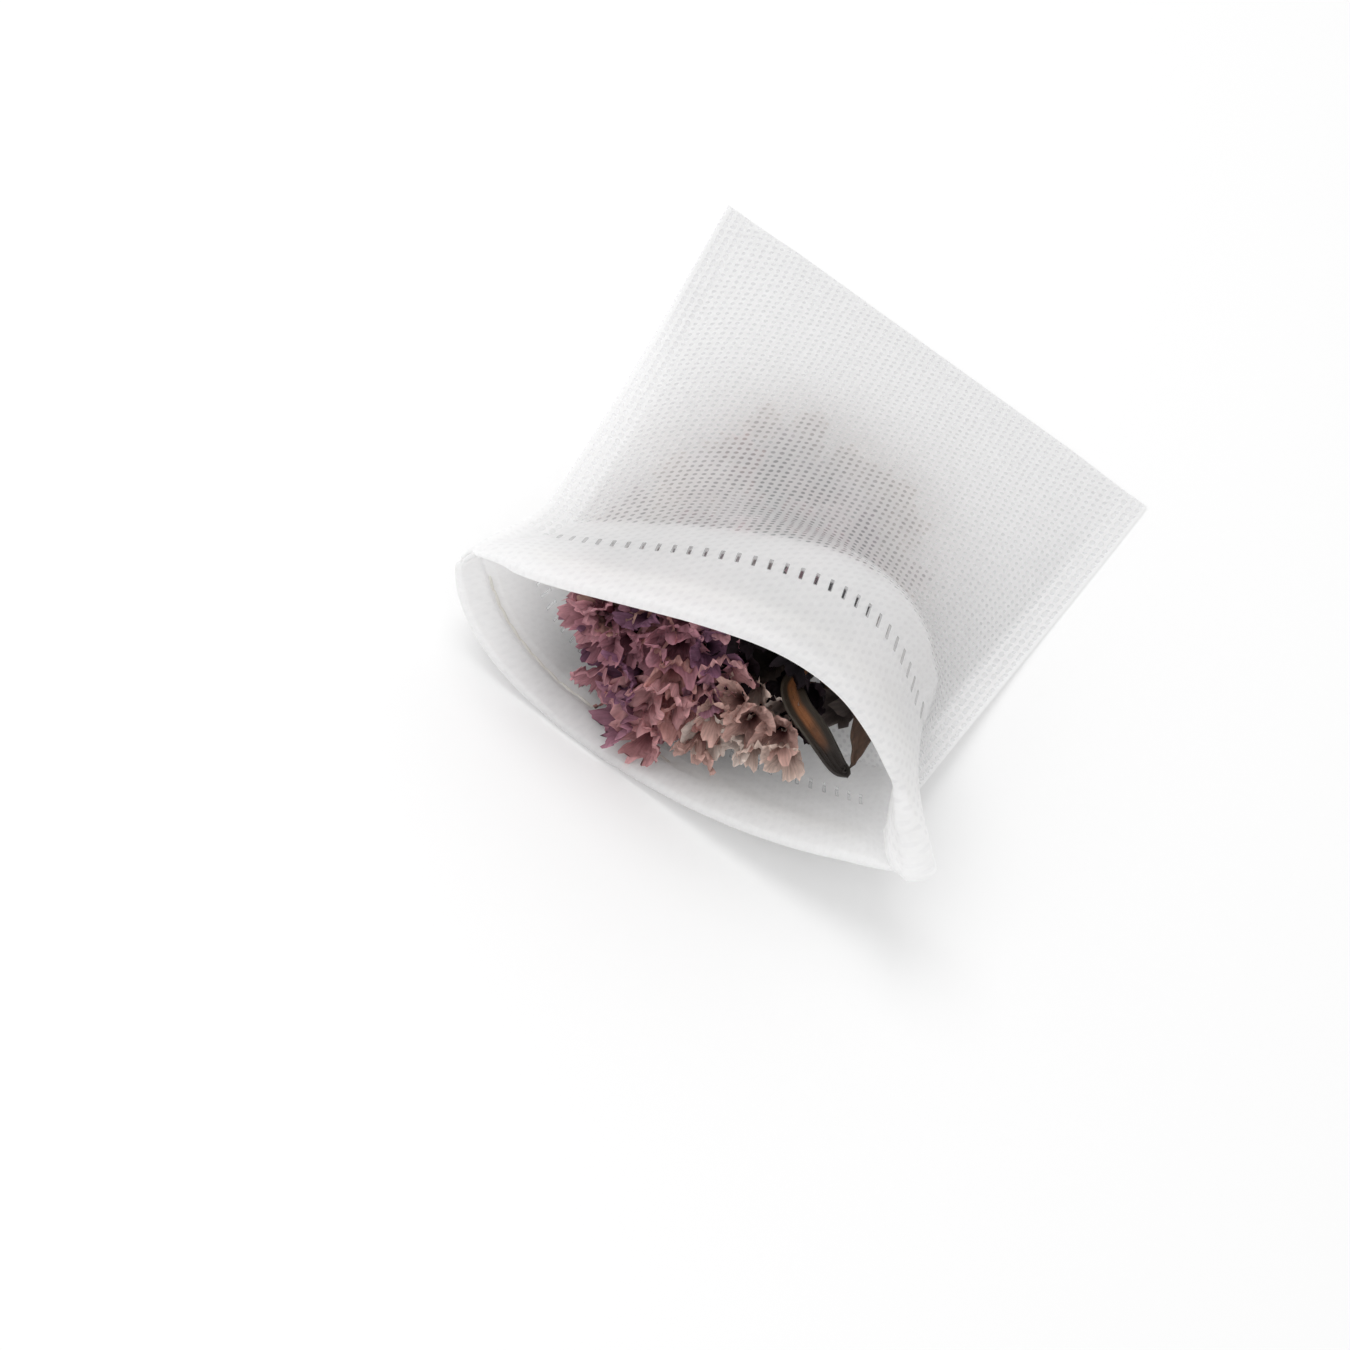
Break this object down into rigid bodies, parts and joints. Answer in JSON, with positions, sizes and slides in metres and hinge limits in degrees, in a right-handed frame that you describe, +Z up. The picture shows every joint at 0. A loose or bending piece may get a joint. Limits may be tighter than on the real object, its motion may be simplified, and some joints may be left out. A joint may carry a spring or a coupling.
{
  "type": "tea filter bag",
  "caption": "Open white non-woven filter bag lying on its back panel, welded sides, turned hem with a thread channel, holding dried flowers in its mouth.",
  "frame": {"origin": "on the surface the bag lies on, under the middle of its outline", "axes": "+Y from the open mouth to the folded bottom, +X to the right when looking into the mouth, +Z up from the back panel to the front panel"},
  "size_m": [0.07, 0.0908, 0.0283],
  "materials": {
    "filter_cloth": "matte point-bonded non-woven",
    "thread": "matte twisted thread",
    "pink_petals": "matte dried petals",
    "cream_petals": "matte dried petals",
    "dry_leaf": "matte dried leaf",
    "dry_stem": "matte dried stem"
  },
  "bodies": {
    "root": {"filter_bag": "filter_cloth", "front_drawstring": "thread", "back_drawstring": "thread", "pink_sprig": "pink_petals", "cream_sprig": "cream_petals", "brown_leaf": "dry_leaf", "bare_stem": "dry_stem"}
  },
  "joints": []
}
